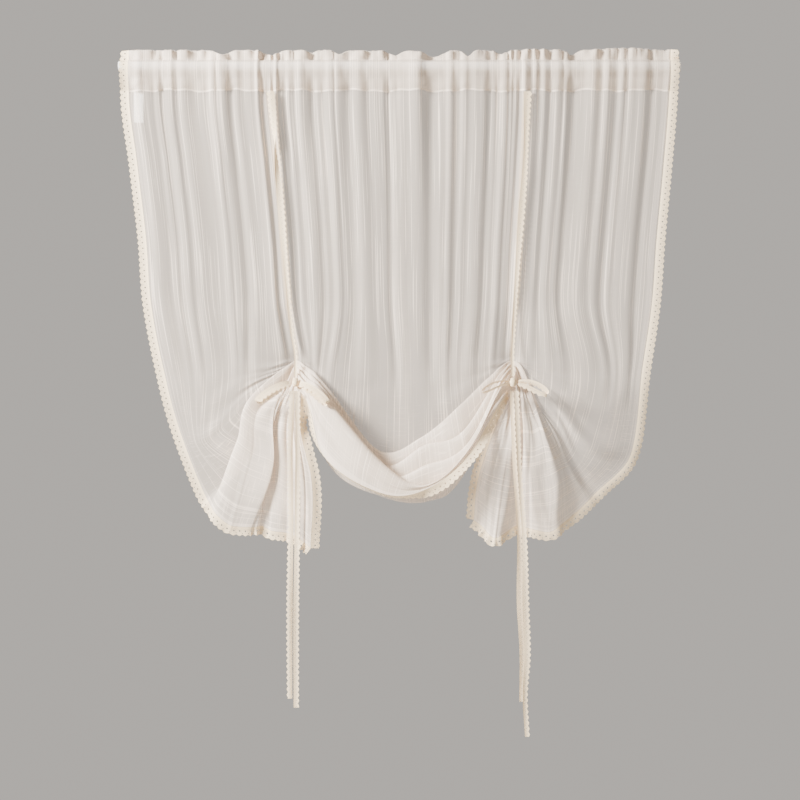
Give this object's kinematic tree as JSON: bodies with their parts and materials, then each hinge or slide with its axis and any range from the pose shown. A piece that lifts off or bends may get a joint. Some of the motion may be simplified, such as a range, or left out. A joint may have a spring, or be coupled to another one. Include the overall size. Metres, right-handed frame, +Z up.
{
  "type": "cafe curtain on a rod",
  "caption": "Sheer gathered tie-up cafe curtain with lace edging and ribbon bows, hung on a slim round rod.",
  "frame": {"origin": "on the rod's axis, half way along the rod", "axes": "+X along the rod to the right as seen from the room, +Z up, -Y towards the room, +Y towards the window"},
  "size_m": [1.05, 0.1015, 1.2789],
  "materials": {
    "sheer_voile": "sheer slub voile, warm ivory, see-through where single",
    "cotton_lace": "matte cream cotton lace with scalloped edges and open eyelets",
    "white_steel": "plain white satin paint",
    "white_satin": "plain white woven satin, blank"
  },
  "bodies": {
    "root": {"panel": "sheer_voile", "rod": "white_steel", "lace_left": "cotton_lace", "lace_right": "cotton_lace", "lace_hem_left": "cotton_lace", "lace_hem_middle": "cotton_lace", "lace_hem_right": "cotton_lace", "tie_front_left": "cotton_lace", "tie_front_right": "cotton_lace", "tie_back_left": "cotton_lace", "tie_back_right": "cotton_lace", "bow_left": "cotton_lace", "bow_right": "cotton_lace", "tie_end_left_outer": "cotton_lace", "tie_end_left_inner": "cotton_lace", "tie_end_right_inner": "cotton_lace", "tie_end_right_outer": "cotton_lace", "care_label": "white_satin"}
  },
  "joints": []
}
